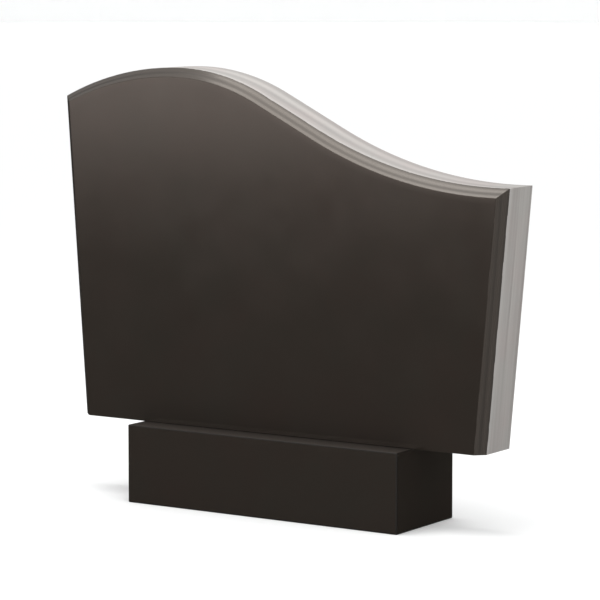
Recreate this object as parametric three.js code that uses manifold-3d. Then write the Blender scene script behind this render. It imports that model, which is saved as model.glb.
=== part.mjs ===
// Headstone of dark polished stone: an upright stele with a wave-shaped top on a low plinth.
// Millimetres, +Z up. X runs along the width and the front faces -Y. The origin is the
// centre of the plinth's underside.
import * as THREE from "three";
import { mergeVertices, toCreasedNormals } from "three/addons/utils/BufferGeometryUtils.js";
import Module from "manifold-3d";

// Plinth: a squared block with eased arrises
const PLINTH_WIDTH = 600;
const PLINTH_DEPTH = 200;
const PLINTH_HEIGHT = 150;
const PLINTH_ARRIS = 2.5;

// Stele: a slab that stands on the middle of the plinth and widens towards the top
const BED_GAP = 0.3;
const FOOT_WIDTH = 894;
const SHOULDER_WIDTH = 980;
const STELE_THICKNESS = 100;
const FRONT_CHAMFER = 17;

// Wave of the top, with heights measured from the plinth: it swells up to a crest left of the
// middle, rolls over into a straight slope and runs out in a hollow, lowest just short of the
// right shoulder
const CREST_X = -229;
const CREST_HEIGHT = 677;
const SWELL_RADIUS = 602;
const ROLL_RADIUS = 438;
const SLOPE_ANGLE = THREE.MathUtils.degToRad(26.5);
const SLOPE_LENGTH = 142;
const HOLLOW_X = 468;

// Step along a round stretch, longer than what a corner's mitre takes off the chamfered edge
const ARC_STEP = 22;

// Spare length past a face that is cut afterwards
const CUT_SPARE = 50;

// Faces that meet at more than this stay a sharp edge when shaded
const CREASE_ANGLE = THREE.MathUtils.degToRad(20);

const QUARTER_TURN = Math.PI / 2;

const wasm = await Module();
wasm.setup();

// A closed geometry as a solid that can be cut
function solidFrom(geometry) {
  const bare = geometry.clone();
  bare.deleteAttribute("normal");
  bare.deleteAttribute("uv");
  const merged = mergeVertices(bare);
  const mesh = new wasm.Mesh({
    numProp: 3,
    vertProperties: Float32Array.from(merged.attributes.position.array),
    triVerts: Uint32Array.from(merged.index.array),
  });
  return new wasm.Manifold(mesh);
}

// A cut solid as a geometry again
function geometryFrom(solid) {
  const mesh = solid.getMesh();
  const geometry = new THREE.BufferGeometry();
  geometry.setAttribute("position", new THREE.BufferAttribute(mesh.vertProperties, mesh.numProp));
  geometry.setIndex(new THREE.BufferAttribute(mesh.triVerts, 1));
  return toCreasedNormals(geometry, CREASE_ANGLE);
}

// A box between two corners
function boxBetween(low, high) {
  const size = new THREE.Vector3().subVectors(high, low);
  const centre = new THREE.Vector3().addVectors(low, high).multiplyScalar(0.5);
  const box = new THREE.BoxGeometry(size.x, size.y, size.z);
  return box.translate(centre.x, centre.y, centre.z);
}

// An outline pushed out from 0 to a depth, with one flat chamfer cut back from its edges at both ends
function chamferedExtrusion(outline, depth, chamfer) {
  const extrusion = new THREE.ExtrudeGeometry(outline, {
    depth: depth - 2 * chamfer,
    bevelThickness: chamfer,
    bevelSize: chamfer,
    bevelOffset: -chamfer,
    bevelSegments: 1,
  });
  return extrusion.translate(0, 0, chamfer);
}

// Plan of the plinth, with its four upright arrises cut off
function plinthPlan() {
  const halfWidth = PLINTH_WIDTH / 2;
  const halfDepth = PLINTH_DEPTH / 2;
  return new THREE.Shape([
    new THREE.Vector2(halfWidth - PLINTH_ARRIS, -halfDepth),
    new THREE.Vector2(halfWidth, PLINTH_ARRIS - halfDepth),
    new THREE.Vector2(halfWidth, halfDepth - PLINTH_ARRIS),
    new THREE.Vector2(halfWidth - PLINTH_ARRIS, halfDepth),
    new THREE.Vector2(PLINTH_ARRIS - halfWidth, halfDepth),
    new THREE.Vector2(-halfWidth, halfDepth - PLINTH_ARRIS),
    new THREE.Vector2(-halfWidth, PLINTH_ARRIS - halfDepth),
    new THREE.Vector2(PLINTH_ARRIS - halfWidth, -halfDepth),
  ]);
}

// Points of a round stretch of an outline, without the first, where the stretch before it ends
function arcPoints(centreX, centreHeight, radius, startAngle, endAngle) {
  const clockwise = endAngle < startAngle;
  const arc = new THREE.ArcCurve(centreX, centreHeight, radius, startAngle, endAngle, clockwise);
  return arc.getPoints(Math.round(arc.getLength() / ARC_STEP)).slice(1);
}

// Front view of the stele, with its feet at height 0 and its sides run on below that
function steleOutline() {
  const shoulderX = SHOULDER_WIDTH / 2;
  const footX = FOOT_WIDTH / 2;
  const sinSlope = Math.sin(SLOPE_ANGLE);
  const cosSlope = Math.cos(SLOPE_ANGLE);

  const swellAngle = Math.acos((-shoulderX - CREST_X) / SWELL_RADIUS);
  const leftHeight = CREST_HEIGHT - SWELL_RADIUS * (1 - Math.sin(swellAngle));

  const slopeStartX = CREST_X + ROLL_RADIUS * sinSlope;
  const slopeStartHeight = CREST_HEIGHT - ROLL_RADIUS * (1 - cosSlope);
  const slopeEndX = slopeStartX + SLOPE_LENGTH * cosSlope;
  const slopeEndHeight = slopeStartHeight - SLOPE_LENGTH * sinSlope;

  const hollowRadius = (HOLLOW_X - slopeEndX) / sinSlope;
  const hollowHeight = slopeEndHeight + hollowRadius * cosSlope;
  const shoulderAngle = Math.asin((shoulderX - HOLLOW_X) / hollowRadius);
  const rightHeight = hollowHeight - hollowRadius * Math.cos(shoulderAngle);

  const lean = shoulderX - footX;
  const leftBelow = -footX + (lean * CUT_SPARE) / leftHeight;
  const rightBelow = footX - (lean * CUT_SPARE) / rightHeight;

  return new THREE.Shape([
    new THREE.Vector2(rightBelow, -CUT_SPARE),
    new THREE.Vector2(leftBelow, -CUT_SPARE),
    new THREE.Vector2(-shoulderX, leftHeight),
    ...arcPoints(CREST_X, CREST_HEIGHT - SWELL_RADIUS, SWELL_RADIUS, swellAngle, QUARTER_TURN),
    ...arcPoints(CREST_X, CREST_HEIGHT - ROLL_RADIUS, ROLL_RADIUS, QUARTER_TURN, QUARTER_TURN - SLOPE_ANGLE),
    new THREE.Vector2(slopeEndX, slopeEndHeight),
    ...arcPoints(
      HOLLOW_X, hollowHeight, hollowRadius,
      3 * QUARTER_TURN - SLOPE_ANGLE, 3 * QUARTER_TURN + shoulderAngle,
    ),
  ]);
}

// The plinth stands on a plain sawn bed, so its lower chamfer is cut away
function plinthGeometry() {
  const block = chamferedExtrusion(plinthPlan(), PLINTH_HEIGHT + CUT_SPARE, PLINTH_ARRIS);
  block.translate(0, 0, -CUT_SPARE);
  const aboveBed = boxBetween(
    new THREE.Vector3(-PLINTH_WIDTH, -PLINTH_DEPTH, 0),
    new THREE.Vector3(PLINTH_WIDTH, PLINTH_DEPTH, 2 * PLINTH_HEIGHT),
  );
  return geometryFrom(solidFrom(block).intersect(solidFrom(aboveBed)));
}

// The stele keeps its chamfer on the front along the top and both sides. Its foot and its back
// are cut square.
function steleGeometry() {
  const frontY = -STELE_THICKNESS / 2;
  const backY = STELE_THICKNESS / 2;
  const slab = chamferedExtrusion(steleOutline(), STELE_THICKNESS + CUT_SPARE, FRONT_CHAMFER);
  slab.rotateX(QUARTER_TURN);
  slab.translate(0, backY + CUT_SPARE, 0);
  const aboveFoot = boxBetween(
    new THREE.Vector3(-SHOULDER_WIDTH, frontY - CUT_SPARE, 0),
    new THREE.Vector3(SHOULDER_WIDTH, backY, 2 * CREST_HEIGHT),
  );
  return geometryFrom(solidFrom(slab).intersect(solidFrom(aboveFoot)));
}

const plinthStone = new THREE.MeshStandardMaterial({ color: 0x2d2824, roughness: 0.2, metalness: 0 });
const steleStone = new THREE.MeshStandardMaterial({ color: 0x36312e, roughness: 0.2, metalness: 0 });

const plinth = new THREE.Mesh(plinthGeometry(), plinthStone);
plinth.name = "plinth";

const stele = new THREE.Mesh(steleGeometry(), steleStone);
stele.name = "stele";
stele.position.z = PLINTH_HEIGHT + BED_GAP;

const headstone = new THREE.Group();
headstone.add(plinth, stele);

export default headstone;
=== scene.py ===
"""Looks of the headstone: a dark polished stele with a wave-shaped top, standing on a low plinth.

Metres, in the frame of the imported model: X along the width, the front towards -Y, +Z up.
"""
import math

import bmesh
import bpy
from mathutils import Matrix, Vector


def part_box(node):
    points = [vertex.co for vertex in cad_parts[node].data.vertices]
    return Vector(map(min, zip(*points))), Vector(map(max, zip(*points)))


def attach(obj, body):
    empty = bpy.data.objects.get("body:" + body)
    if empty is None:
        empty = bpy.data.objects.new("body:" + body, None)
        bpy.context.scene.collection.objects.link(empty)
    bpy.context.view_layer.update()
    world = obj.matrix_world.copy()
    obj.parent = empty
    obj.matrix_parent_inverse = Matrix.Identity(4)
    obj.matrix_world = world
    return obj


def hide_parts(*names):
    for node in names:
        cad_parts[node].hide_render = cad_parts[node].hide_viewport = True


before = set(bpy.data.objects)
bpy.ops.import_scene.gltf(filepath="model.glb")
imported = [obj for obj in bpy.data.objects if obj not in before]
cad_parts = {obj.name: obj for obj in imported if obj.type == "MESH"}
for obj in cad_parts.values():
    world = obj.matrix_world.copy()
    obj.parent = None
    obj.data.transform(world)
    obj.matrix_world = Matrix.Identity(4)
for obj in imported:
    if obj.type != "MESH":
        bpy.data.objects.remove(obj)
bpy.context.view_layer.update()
STELE_LOW, STELE_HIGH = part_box("stele")
PLINTH_LOW, PLINTH_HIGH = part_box("plinth")

# Stele: what its box doesn't give
FOOT_WIDTH = 0.894
FRONT_CHAMFER = 0.017
STELE_ARRIS = 0.0007

# Pitch of the lengthwise bands that grinding left on the chamfers, and on the top and sides
CHAMFER_BAND = 0.0098
EDGE_BAND = 0.050

# Cells to the metre along the edges, of the noise that lets those bands wander
BAND_WANDER = 1.2

# Width of the painted highlight, a pale line on the top and sides along the front arris
ARRIS_HIGHLIGHT_WIDTH = 0.012

# Height below which painted shade darkens the sides of the stele towards the foot
PAINTED_SHADE_HEIGHT = 0.60

# Wave of the top: it swells to a crest, rolls over into a straight slope and runs out in a hollow
CREST_X = -0.229
SWELL_RADIUS = 0.602
ROLL_RADIUS = 0.438
SLOPE_ANGLE = math.radians(26.5)
SLOPE_LENGTH = 0.142
HOLLOW_X = 0.468

# Plinth: the rounding of its edges
PLINTH_ARRIS = 0.0025

# Crystals of the stone, and the noise values at which they are darkest and palest
CRYSTALS_PER_METRE = 900.0
DARK_CRYSTAL = 0.35
PALE_CRYSTAL = 0.75

# Mesh steps, what counts as one point or as a sharp edge, and how much flat faces rule the shading
SIDE_STEPS = 40
SWELL_STEPS = 56
ROLL_STEPS = 44
SLOPE_STEPS = 12
HOLLOW_STEPS = 84
EDGE_ROWS = 16
CHAMFER_ROWS = 8
PLINTH_STEP = 0.025
STELE_ARRIS_STEPS = 3
PLINTH_ARRIS_STEPS = 4
WELD_DISTANCE = 1e-6
SHARP_ANGLE = math.radians(30)
FLAT_FACE_WEIGHT = 100

# Camera, fitted to the photograph's 600 x 600 frame
CAMERA_AZIMUTH = math.radians(33.18)
CAMERA_ELEVATION = math.radians(6.63)
CAMERA_DISTANCE = 5.589
CAMERA_AIM = Vector((0.0198, 0.0104, 0.3981))
SENSOR_WIDTH_MM = 36.0
LENS_MM = 179.60

# Studio: a round floor with an upright rim as its backdrop
FLOOR_RADIUS = 40.0
RIM_HEIGHT = 5.0
RIM_STEPS = 96
SOFTBOX_PLACE = Vector((-0.12, -0.45, 2.60))
SOFTBOX_SIZE = 1.5
SOFTBOX_WATTS = 34.5

# Brightness of the surroundings by elevation in degrees, towards the front and towards the back
FRONT_SKY = {
    -11: 0.16, -7: 0.16, -5.7: 0.25, -4.7: 0.46, -3.8: 1.20,
    -3.2: 2.4, -2.7: 3.2, -2.2: 3.5, 4: 3.5, 12: 1.2,
}
BACK_SKY = {0: 0.02, 8: 0.12, 20: 0.9, 32: 1.3}
LEFT_DIMMING = 0.38

# Range of a direction's Y in which front turns to back, and of its X in which the left is dimmed
BACK_FADE = (-0.4, 0.1)
LEFT_FADE = (-0.9, -0.45)

QUARTER_TURN = math.pi / 2

# Range that holds most of a noise's values
NOISE_LOW = 0.3
NOISE_HIGH = 0.7

# Upward part of a normal on the leaning sides at most, and on the top at least
SIDE_UPWARD = 0.3
TOP_UPWARD = 0.85

# Phase that Blender's wave texture turns through in one unit
WAVE_PHASE = 20.0

# Colour sockets of Blender's mix node
MIX_SHARE = 0
MIX_FIRST = 6
MIX_SECOND = 7
MIX_RESULT = 2


def spaced(start, end, steps):
    """Evenly spaced values from start to end, both included."""
    return [start + (end - start) * (i / steps) for i in range(steps + 1)]


def arc(centre, radius, start_angle, end_angle, steps):
    """Points of a round stretch in the front view, as (x, z)."""
    angles = spaced(start_angle, end_angle, steps)
    return [centre + radius * Vector((math.cos(a), math.sin(a))) for a in angles]


def line_meets_circle(start, along, centre, radius, far):
    """Where a line meets a circle: its near or far crossing."""
    offset = start - centre
    middle = -along.dot(offset)
    half_chord = math.sqrt(middle * middle - offset.length_squared + radius * radius)
    return start + along * (middle + (half_chord if far else -half_chord))


class FrontView:
    """The stele's outline as seen from the front, which can be drawn set in from its edges."""

    def __init__(self):
        shoulder_x = STELE_HIGH.x
        foot_z = STELE_LOW.z
        normal = Vector((math.sin(SLOPE_ANGLE), math.cos(SLOPE_ANGLE)))
        downhill = Vector((math.cos(SLOPE_ANGLE), -math.sin(SLOPE_ANGLE)))
        self.swell_centre = Vector((CREST_X, STELE_HIGH.z - SWELL_RADIUS))
        self.roll_centre = Vector((CREST_X, STELE_HIGH.z - ROLL_RADIUS))
        slope_end = self.roll_centre + ROLL_RADIUS * normal + SLOPE_LENGTH * downhill
        self.hollow_radius = (HOLLOW_X - slope_end.x) / normal.x
        self.hollow_centre = slope_end + self.hollow_radius * normal
        swell_rise = math.sqrt(SWELL_RADIUS**2 - (shoulder_x + CREST_X) ** 2)
        hollow_drop = math.sqrt(self.hollow_radius**2 - (shoulder_x - HOLLOW_X) ** 2)
        self.left_shoulder = Vector((-shoulder_x, self.swell_centre.y + swell_rise))
        self.right_shoulder = Vector((shoulder_x, self.hollow_centre.y - hollow_drop))
        self.left_foot = Vector((-FOOT_WIDTH / 2, foot_z))
        self.right_foot = Vector((FOOT_WIDTH / 2, foot_z))

    def side(self, foot, shoulder, inset):
        """A side's foot point and direction, set in from the edge."""
        along = (shoulder - foot).normalized()
        towards_middle = -math.copysign(1.0, foot.x)
        start = foot + Vector((along.y, -along.x)) * towards_middle * inset
        return start + along * ((foot.y - start.y) / along.y), along

    def ring(self, inset):
        """Points of the outline from the left foot over the top to the right foot."""
        left_start, left_along = self.side(self.left_foot, self.left_shoulder, inset)
        right_start, right_along = self.side(self.right_foot, self.right_shoulder, inset)
        swell_radius = SWELL_RADIUS - inset
        hollow_radius = self.hollow_radius + inset
        left_corner = line_meets_circle(
            left_start, left_along, self.swell_centre, swell_radius, far=True)
        right_corner = line_meets_circle(
            right_start, right_along, self.hollow_centre, hollow_radius, far=False)
        left_angle = math.atan2(*(left_corner - self.swell_centre).yx)
        right_angle = math.atan2(*(right_corner - self.hollow_centre).yx)

        left = spaced(left_start, left_corner, SIDE_STEPS)
        swell = arc(self.swell_centre, swell_radius, left_angle, QUARTER_TURN, SWELL_STEPS)
        roll_end = QUARTER_TURN - SLOPE_ANGLE
        hollow_start = -QUARTER_TURN - SLOPE_ANGLE
        roll = arc(self.roll_centre, ROLL_RADIUS - inset, QUARTER_TURN, roll_end, ROLL_STEPS)
        hollow = arc(self.hollow_centre, hollow_radius, hollow_start, right_angle, HOLLOW_STEPS)
        slope = spaced(roll[-1], hollow[0], SLOPE_STEPS)
        right = spaced(right_corner, right_start, SIDE_STEPS)
        return left + swell[1:] + roll[1:] + slope[1:] + hollow[1:] + right[1:]


def in_depth(points, y):
    """Front view points at a depth."""
    return [Vector((p.x, y, p.y)) for p in points]


def over_top(ring):
    """Points of a ring between its two shoulders."""
    return ring[SIDE_STEPS:-SIDE_STEPS]


def along_foot(ring):
    """Points between the two feet of a ring, one for each point of its top."""
    top = over_top(ring)
    shares = [(p.x - top[0].x) / (top[-1].x - top[0].x) for p in top]
    return [ring[0].lerp(ring[-1], share) for share in shares]


def across(ring):
    """Columns of a face inside a ring, each from a point of the foot to its point of the top."""
    return [spaced(foot, point, SIDE_STEPS) for foot, point in zip(along_foot(ring), over_top(ring))]


def add_patch(mesh, rows, material_index):
    """Adds a grid of points as smooth quads of one material."""
    grid = [[mesh.verts.new(p) for p in row] for row in rows]
    for low, high in zip(grid, grid[1:]):
        for a, b, c, d in zip(low, low[1:], high[1:], high):
            face = mesh.faces.new((a, b, c, d))
            face.material_index = material_index
            face.smooth = True


def piece_from(mesh, name, materials):
    """Welds the patches of a piece into one mesh and puts it in the scene."""
    bmesh.ops.remove_doubles(mesh, verts=mesh.verts, dist=WELD_DISTANCE)
    bmesh.ops.recalc_face_normals(mesh, faces=mesh.faces)
    data = bpy.data.meshes.new(name)
    mesh.to_mesh(data)
    mesh.free()
    for material in materials:
        data.materials.append(material)
    piece = bpy.data.objects.new(name, data)
    bpy.context.scene.collection.objects.link(piece)
    return piece


def ease_edges(piece, width, segments, material_index=-1):
    """Rounds every sharp edge of a piece by a small arris, of its own material if one is given."""
    bevel = piece.modifiers.new("arris", "BEVEL")
    bevel.width = width
    bevel.segments = segments
    bevel.material = material_index
    bevel.limit_method = "ANGLE"
    bevel.angle_limit = SHARP_ANGLE
    normals = piece.modifiers.new("flat_faces", "WEIGHTED_NORMAL")
    normals.weight = FLAT_FACE_WEIGHT


def make_stele(polished, chamfer_finish, ground, sawn):
    """The upright slab: polished front and chamfers, ground top and sides, sawn back and foot."""
    view = FrontView()
    front_y = STELE_LOW.y
    back_y = STELE_HIGH.y
    arris_y = front_y + FRONT_CHAMFER
    outer = view.ring(0.0)
    inner = view.ring(FRONT_CHAMFER)
    edge_rows = [in_depth(outer, y) for y in spaced(back_y, arris_y, EDGE_ROWS)]
    chamfer_rows = [
        in_depth(view.ring(inset), arris_y - inset)
        for inset in spaced(0.0, FRONT_CHAMFER, CHAMFER_ROWS)
    ]
    skin_rows = edge_rows + chamfer_rows[1:]
    foot_rows = [along_foot(row) for row in skin_rows]

    finishes = [polished, chamfer_finish, ground, sawn]
    mesh = bmesh.new()
    add_patch(mesh, across(in_depth(inner, front_y)), finishes.index(polished))
    add_patch(mesh, chamfer_rows, finishes.index(chamfer_finish))
    add_patch(mesh, edge_rows, finishes.index(ground))
    add_patch(mesh, across(in_depth(outer, back_y)), finishes.index(sawn))
    add_patch(mesh, foot_rows, finishes.index(sawn))
    stele = piece_from(mesh, "stele_stone", finishes)
    ease_edges(stele, STELE_ARRIS, STELE_ARRIS_STEPS)
    return stele


def plinth_face(axis, level):
    """Rows of points of the plinth's face across an axis, at a level along it."""
    low, high = PLINTH_LOW, PLINTH_HIGH
    first, second = [i for i in range(3) if i != axis]
    rows = []
    for u in spaced(low[first], high[first], round((high[first] - low[first]) / PLINTH_STEP)):
        row = []
        for v in spaced(low[second], high[second], round((high[second] - low[second]) / PLINTH_STEP)):
            point = Vector()
            point[axis] = level
            point[first] = u
            point[second] = v
            row.append(point)
        rows.append(row)
    return rows


def make_plinth(polished, dulled, sawn):
    """The block under the stele: polished all round, duller on its top and arrises, sawn below."""
    finishes = [polished, dulled, sawn]
    low_and_high_finish = [(polished, polished), (polished, polished), (sawn, dulled)]
    mesh = bmesh.new()
    for axis, (low_finish, high_finish) in enumerate(low_and_high_finish):
        add_patch(mesh, plinth_face(axis, PLINTH_LOW[axis]), finishes.index(low_finish))
        add_patch(mesh, plinth_face(axis, PLINTH_HIGH[axis]), finishes.index(high_finish))
    plinth = piece_from(mesh, "plinth_stone", finishes)
    ease_edges(plinth, PLINTH_ARRIS, PLINTH_ARRIS_STEPS, finishes.index(dulled))
    return plinth


def add_node(tree, kind, inputs=None, **settings):
    """A node of that kind. An input given as a socket is linked, and any other value is set on it."""
    node = tree.nodes.new(kind)
    for name, value in settings.items():
        setattr(node, name, value)
    for key, value in (inputs or {}).items():
        if isinstance(value, bpy.types.NodeSocket):
            tree.links.new(value, node.inputs[key])
        else:
            node.inputs[key].default_value = value
    return node


def new_material(name):
    """An empty material, its node tree, its shader and the piece's own coordinates."""
    material = bpy.data.materials.new(name)
    material.use_nodes = True
    tree = material.node_tree
    tree.nodes.clear()
    shader = add_node(tree, "ShaderNodeBsdfPrincipled")
    add_node(tree, "ShaderNodeOutputMaterial", {"Surface": shader.outputs["BSDF"]})
    place = add_node(tree, "ShaderNodeTexCoord").outputs["Object"]
    return material, tree, shader, place


def noise(tree, place, scale, detail=2.0, roughness=0.5):
    """A noise of that many cells to the metre, as a value around 0.5."""
    inputs = {"Vector": place, "Scale": scale, "Detail": detail, "Roughness": roughness}
    return add_node(tree, "ShaderNodeTexNoise", inputs).outputs["Fac"]


def crystal_noise(tree, place):
    """The stone's fine crystals."""
    return noise(tree, place, CRYSTALS_PER_METRE, 2.0, 0.7)


def cloud_noise(tree, place, per_metre):
    """Soft patches, that many to the metre."""
    return noise(tree, place, per_metre, 4.0, 0.6)


def streaks(tree, place, along, across_depth, detail=3.0):
    """A noise drawn out along the stone's edges, with its cells to the metre along them and across."""
    stretched = add_node(
        tree, "ShaderNodeMapping", {"Vector": place, "Scale": (along, across_depth, along)})
    return noise(tree, stretched.outputs["Vector"], 1.0, detail)


def bands(tree, place, pitch, palest_y, unevenness):
    """Soft bands along the stone's edges, as a value from 0 to 1, with one of the palest at a depth."""
    per_metre = 2 * math.pi / pitch
    scale = (BAND_WANDER, per_metre / WAVE_PHASE, BAND_WANDER)
    stretched = add_node(tree, "ShaderNodeMapping", {"Vector": place, "Scale": scale})
    inputs = {
        "Vector": stretched.outputs["Vector"], "Scale": 1.0, "Distortion": unevenness, "Detail": 1.0,
        "Detail Scale": 1.0, "Phase Offset": math.pi - per_metre * palest_y,
    }
    return add_node(tree, "ShaderNodeTexWave", inputs, bands_direction="Y").outputs["Fac"]


def remap(tree, value, low, high, to_low, to_high):
    """A value taken from one range to another, and held inside it."""
    inputs = {"Value": value, "From Min": low, "From Max": high, "To Min": to_low, "To Max": to_high}
    return add_node(tree, "ShaderNodeMapRange", inputs).outputs["Result"]


def from_noise(tree, value, to_low=0.0, to_high=1.0):
    """A noise's value spread over a range."""
    return remap(tree, value, NOISE_LOW, NOISE_HIGH, to_low, to_high)


def mix(tree, share, first, second, blend="MIX"):
    """Two colours mixed."""
    inputs = {MIX_SHARE: share, MIX_FIRST: first, MIX_SECOND: second}
    node = add_node(tree, "ShaderNodeMix", inputs, data_type="RGBA", blend_type=blend)
    return node.outputs[MIX_RESULT]


def shade(tree, colour, share, darkest, palest):
    """A colour made darker or paler by a share, between two factors."""
    factor = remap(tree, share, 0.0, 1.0, darkest, palest)
    return mix(tree, 1.0, colour, factor, "MULTIPLY")


def grain_colour(tree, crystals, dark, pale):
    """The colour of the crystals, from the darkest to the palest."""
    return mix(tree, remap(tree, crystals, DARK_CRYSTAL, PALE_CRYSTAL, 0.0, 1.0), dark, pale)


def bump(tree, height, depth):
    """A normal from a relief, given as heights from 0 to 1 and its depth in metres."""
    inputs = {"Height": height, "Distance": depth, "Strength": 1.0}
    return add_node(tree, "ShaderNodeBump", inputs).outputs["Normal"]


def dress(tree, shader, colour, roughness, normal):
    """Links what varies over a surface to its shader."""
    for name, value in {"Base Color": colour, "Roughness": roughness, "Normal": normal}.items():
        tree.links.new(value, shader.inputs[name])


def polished_stone():
    """Mirror-ground dark stone: fine crystals and faint clouds under a warm gloss."""
    material, tree, shader, place = new_material("polished_stone")
    crystals = crystal_noise(tree, place)
    clouds = cloud_noise(tree, place, 7.0)
    grain = grain_colour(
        tree, crystals, (0.0130, 0.0105, 0.0087, 1.0), (0.0246, 0.0199, 0.0166, 1.0))
    tint = mix(tree, from_noise(tree, clouds), (1.04, 0.97, 0.94, 1.0), (0.96, 1.02, 0.98, 1.0))
    colour = mix(tree, 1.0, grain, tint, "MULTIPLY")
    smear = cloud_noise(tree, place, 12.0)
    dress(tree, shader, colour, from_noise(tree, smear, 0.09, 0.13), bump(tree, crystals, 0.00001))
    shader.inputs["Specular Tint"].default_value = (1.0, 0.835, 0.745, 1.0)
    return material


def dulled_stone():
    """The plinth's top and arrises: less gloss, painted shade on the ledge by the stele that turns to
    painted light towards its edge, and arrises darkened by painted shade.
    """
    material, tree, shader, place = new_material("dulled_stone")
    crystals = crystal_noise(tree, place)
    clouds = cloud_noise(tree, place, 25.0)
    parts = add_node(tree, "ShaderNodeSeparateXYZ", {"Vector": place}).outputs
    from_middle = add_node(tree, "ShaderNodeMath", {0: parts["Y"]}, operation="ABSOLUTE").outputs["Value"]
    # Painted shade on the ledge next to the stele, fading to painted light towards its front edge
    ledge_light_share = remap(tree, from_middle, STELE_HIGH.y, PLINTH_HIGH.y - PLINTH_ARRIS, 0.0, 1.0)
    ledge = mix(tree, ledge_light_share, (0.016, 0.0132, 0.0110, 1.0), (0.037, 0.0310, 0.0265, 1.0))
    # Painted shade: the arrises below the top are darkened, holding back the highlight they catch
    arris_shade_share = remap(tree, parts["Z"], PLINTH_HIGH.z - PLINTH_ARRIS / 2, PLINTH_HIGH.z, 1.0, 0.0)
    base = mix(tree, arris_shade_share, ledge, (0.010, 0.0080, 0.0065, 1.0))
    speckled = shade(tree, base, from_noise(tree, crystals), 0.85, 1.15)
    dress(tree, shader, speckled, from_noise(tree, clouds, 0.36, 0.46), bump(tree, crystals, 0.00002))
    shader.inputs["Specular IOR Level"].default_value = 0.2
    return material


def chamfer_stone():
    """The polished chamfers, with lengthwise bands of finer and coarser hand grinding."""
    material, tree, shader, place = new_material("chamfer_stone")
    arris_y = STELE_LOW.y + FRONT_CHAMFER
    grinding = bands(tree, place, CHAMFER_BAND, arris_y - CHAMFER_BAND / 2, 2.0)
    traces = streaks(tree, place, 2.0, 600.0)
    crystals = crystal_noise(tree, place)
    grain = grain_colour(tree, crystals, (0.016, 0.013, 0.011, 1.0), (0.026, 0.021, 0.018, 1.0))
    paler = mix(tree, grinding, grain, (0.044, 0.037, 0.032, 1.0))
    colour = mix(tree, remap(tree, traces, 0.35, 0.65, 0.0, 0.3), paler, (0.050, 0.043, 0.037, 1.0))
    roughness = remap(tree, grinding, 0.0, 1.0, 0.43, 0.22)
    dress(tree, shader, colour, roughness, bump(tree, traces, 0.00005))
    shader.inputs["Specular Tint"].default_value = (1.0, 0.905, 0.81, 1.0)
    return material


def ground_stone():
    """The unpolished top and sides: streaked pale grey, with a painted highlight along the front arris
    and painted shade darkening the sides towards the foot.
    """
    material, tree, shader, place = new_material("ground_stone")
    fine = streaks(tree, place, 2.0, 150.0, 4.0)
    arris_y = STELE_LOW.y + FRONT_CHAMFER
    broad = bands(tree, place, EDGE_BAND, arris_y, 2.0)
    clouds = noise(tree, place, 9.0, 3.0, 0.6)
    parts = add_node(tree, "ShaderNodeSeparateXYZ", {"Vector": place}).outputs
    # Painted highlight: a pale line along the front arris
    arris_highlight = remap(tree, parts["Y"], arris_y, arris_y + ARRIS_HIGHLIGHT_WIDTH, 0.7, 0.0)
    # Painted shade: the sides grow darker towards the foot and paler up to that height
    side_shade_share = remap(tree, parts["Z"], STELE_LOW.z, PAINTED_SHADE_HEIGHT, 0.0, 1.0)
    facing = add_node(tree, "ShaderNodeNewGeometry").outputs["Normal"]
    upward = add_node(tree, "ShaderNodeSeparateXYZ", {"Vector": facing}).outputs["Z"]
    strength = remap(tree, upward, SIDE_UPWARD, TOP_UPWARD, 0.4, 1.0)
    on_side = remap(tree, upward, SIDE_UPWARD, TOP_UPWARD, 1.0, 0.0)
    base = mix(tree, from_noise(tree, fine), (0.252, 0.238, 0.227, 1.0), (0.338, 0.322, 0.309, 1.0))
    band = mix(tree, broad, (0.86, 0.86, 0.86, 1.0), (1.10, 1.10, 1.10, 1.0))
    banded = mix(tree, strength, base, band, "MULTIPLY")
    tint = mix(
        tree, remap(tree, clouds, 0.35, 0.65, 0.0, 1.0),
        (1.032, 0.982, 0.977, 1.0), (0.992, 1.002, 0.992, 1.0))
    tinted = mix(tree, 1.0, banded, tint, "MULTIPLY")
    # The painted highlight laid over the streaked colour
    highlighted = mix(tree, arris_highlight, tinted, (0.379, 0.361, 0.347, 1.0))
    # Painted shade on the sides, darker towards the foot
    colour = mix(tree, on_side, highlighted, shade(tree, highlighted, side_shade_share, 0.92, 1.095))
    dress(tree, shader, colour, from_noise(tree, fine, 0.5, 0.68), bump(tree, fine, 0.00012))
    return material


def sawn_stone():
    """The back and the beds: sawn, with faint level saw lines."""
    material, tree, shader, place = new_material("sawn_stone")
    stretched = add_node(tree, "ShaderNodeMapping", {"Vector": place, "Scale": (2.0, 2.0, 260.0)})
    lines = noise(tree, stretched.outputs["Vector"], 1.0, 3.0)
    grit = noise(tree, place, 650.0, 3.0, 0.6)
    clouds = cloud_noise(tree, place, 5.0)
    base = mix(tree, from_noise(tree, lines), (0.195, 0.186, 0.178, 1.0), (0.235, 0.225, 0.216, 1.0))
    speckled = shade(tree, base, from_noise(tree, grit), 0.86, 1.12)
    colour = shade(tree, speckled, from_noise(tree, clouds), 0.92, 1.04)
    dress(tree, shader, colour, from_noise(tree, grit, 0.62, 0.78), bump(tree, lines, 0.0002))
    return material


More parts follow.
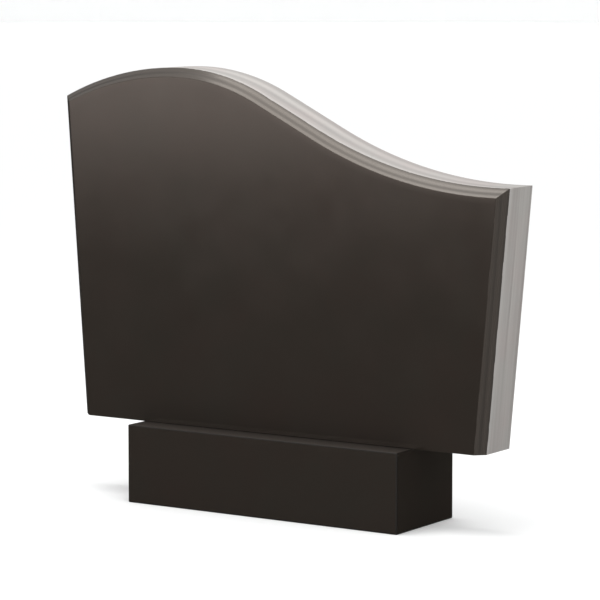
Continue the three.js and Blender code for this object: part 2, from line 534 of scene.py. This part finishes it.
def make_floor():
    """A wide pale floor and backdrop. They are left out of reflections, so polished faces stay dark."""
    mesh = bmesh.new()
    bmesh.ops.create_circle(mesh, cap_ends=True, radius=FLOOR_RADIUS, segments=RIM_STEPS)
    edges = [edge for edge in mesh.edges if edge.is_boundary]
    raised = bmesh.ops.extrude_edge_only(mesh, edges=edges)["geom"]
    corners = [part for part in raised if isinstance(part, bmesh.types.BMVert)]
    bmesh.ops.translate(mesh, verts=corners, vec=(0.0, 0.0, RIM_HEIGHT))
    material, _, shader, _ = new_material("floor_paper")
    shader.inputs["Base Color"].default_value = (0.88, 0.885, 0.885, 1.0)
    shader.inputs["Roughness"].default_value = 0.9
    shader.inputs["Specular IOR Level"].default_value = 0.0
    floor = piece_from(mesh, "floor", [material])
    floor.visible_glossy = False


def sky_ramp(tree, height, dimming, brightness_by_elevation):
    """A light that follows the height of a direction, between the elevations given."""
    elevations = [math.sin(math.radians(degrees)) for degrees in brightness_by_elevation]
    low, high = elevations[0], elevations[-1]
    brightest = max(brightness_by_elevation.values())
    ramp = add_node(tree, "ShaderNodeValToRGB", {"Fac": remap(tree, height, low, high, 0.0, 1.0)})
    elements = ramp.color_ramp.elements
    while len(elements) < len(elevations):
        elements.new(0.5)
    for element, elevation, value in zip(elements, elevations, brightness_by_elevation.values()):
        element.position = (elevation - low) / (high - low)
        element.color = (value / brightest, value / brightest, value / brightest, 1.0)
    strength = add_node(tree, "ShaderNodeMath", {0: dimming, 1: brightest}, operation="MULTIPLY")
    inputs = {"Color": ramp.outputs["Color"], "Strength": strength.outputs["Value"]}
    return add_node(tree, "ShaderNodeBackground", inputs).outputs["Background"]


def make_sky():
    """Soft light from all round, with a bright horizon towards the front only, and dimmer on the left."""
    world = bpy.data.worlds.new("studio")
    world.use_nodes = True
    tree = world.node_tree
    tree.nodes.clear()
    direction = add_node(tree, "ShaderNodeTexCoord").outputs["Generated"]
    parts = add_node(tree, "ShaderNodeSeparateXYZ", {"Vector": direction})
    towards_back = remap(tree, parts.outputs["Y"], *BACK_FADE, 0.0, 1.0)
    dimming = remap(tree, parts.outputs["X"], *LEFT_FADE, LEFT_DIMMING, 1.0)
    front = sky_ramp(tree, parts.outputs["Z"], dimming, FRONT_SKY)
    back = sky_ramp(tree, parts.outputs["Z"], dimming, BACK_SKY)
    both = add_node(tree, "ShaderNodeMixShader", {0: towards_back, 1: front, 2: back})
    add_node(tree, "ShaderNodeOutputWorld", {"Surface": both.outputs["Shader"]})
    bpy.context.scene.world = world


def make_softbox():
    """A square light above the stone, a little in front of it."""
    light = bpy.data.lights.new("softbox", "AREA")
    light.size = SOFTBOX_SIZE
    light.energy = SOFTBOX_WATTS
    lamp = bpy.data.objects.new("softbox", light)
    lamp.location = SOFTBOX_PLACE
    lamp.visible_camera = False
    bpy.context.scene.collection.objects.link(lamp)


def make_camera():
    """The photograph's view."""
    camera = bpy.data.cameras.new("camera")
    camera.lens = LENS_MM
    camera.sensor_width = SENSOR_WIDTH_MM
    camera.clip_end = 3 * FLOOR_RADIUS
    level = math.cos(CAMERA_ELEVATION)
    back = Vector((
        math.sin(CAMERA_AZIMUTH) * level,
        -math.cos(CAMERA_AZIMUTH) * level,
        math.sin(CAMERA_ELEVATION),
    ))
    eye = bpy.data.objects.new("camera", camera)
    eye.location = CAMERA_AIM + back * CAMERA_DISTANCE
    eye.rotation_euler = (-back).to_track_quat("-Z", "Y").to_euler()
    bpy.context.scene.collection.objects.link(eye)
    bpy.context.scene.camera = eye


def place_piece(piece, node):
    """Puts a piece on the frame in place of its CAD node."""
    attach(piece, "root")
    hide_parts(node)


make_camera()
polished = polished_stone()
sawn = sawn_stone()
place_piece(make_stele(polished, chamfer_stone(), ground_stone(), sawn), "stele")
place_piece(make_plinth(polished, dulled_stone(), sawn), "plinth")
make_floor()
make_sky()
make_softbox()
bpy.context.scene.view_settings.view_transform = "Standard"
